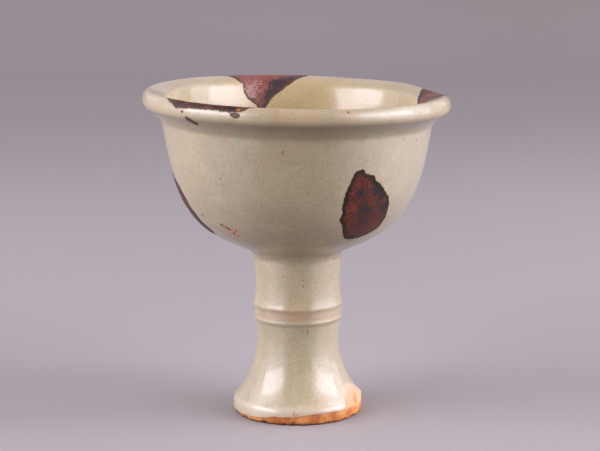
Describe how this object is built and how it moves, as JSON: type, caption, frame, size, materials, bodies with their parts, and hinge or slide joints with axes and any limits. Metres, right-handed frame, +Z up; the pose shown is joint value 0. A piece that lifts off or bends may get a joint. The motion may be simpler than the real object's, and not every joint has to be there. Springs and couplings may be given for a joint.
{
  "type": "stem cup",
  "caption": "Glazed stoneware stem cup: rounded bowl with everted rolled lip on a hollow stem with a bamboo-node band and spreading foot, dabbed with iron-brown spots, for drinking.",
  "frame": {"origin": "centre of the foot, on the plane that the foot stands on", "axes": "+Z up along the axis of the cup, -Y towards the pictured front, +X to the right in the picture"},
  "size_m": [0.0886, 0.0886, 0.0942],
  "materials": {
    "stoneware": "matt, granular, burnt orange where bare",
    "slip": "matt",
    "glaze": "glossy, grey-green celadon with fine specks",
    "iron": "glossy, red-brown with a black-brown border"
  },
  "bodies": {
    "root": {"bowl_body": "stoneware", "stem_body": "stoneware", "luting_slip": "slip", "glaze_inside": "glaze", "glaze_outside": "glaze", "iron_spot_front": "iron", "iron_spot_left": "iron", "iron_spot_back": "iron", "iron_splash_front": "iron", "iron_splash_right": "iron", "iron_splash_back": "iron"}
  },
  "joints": []
}
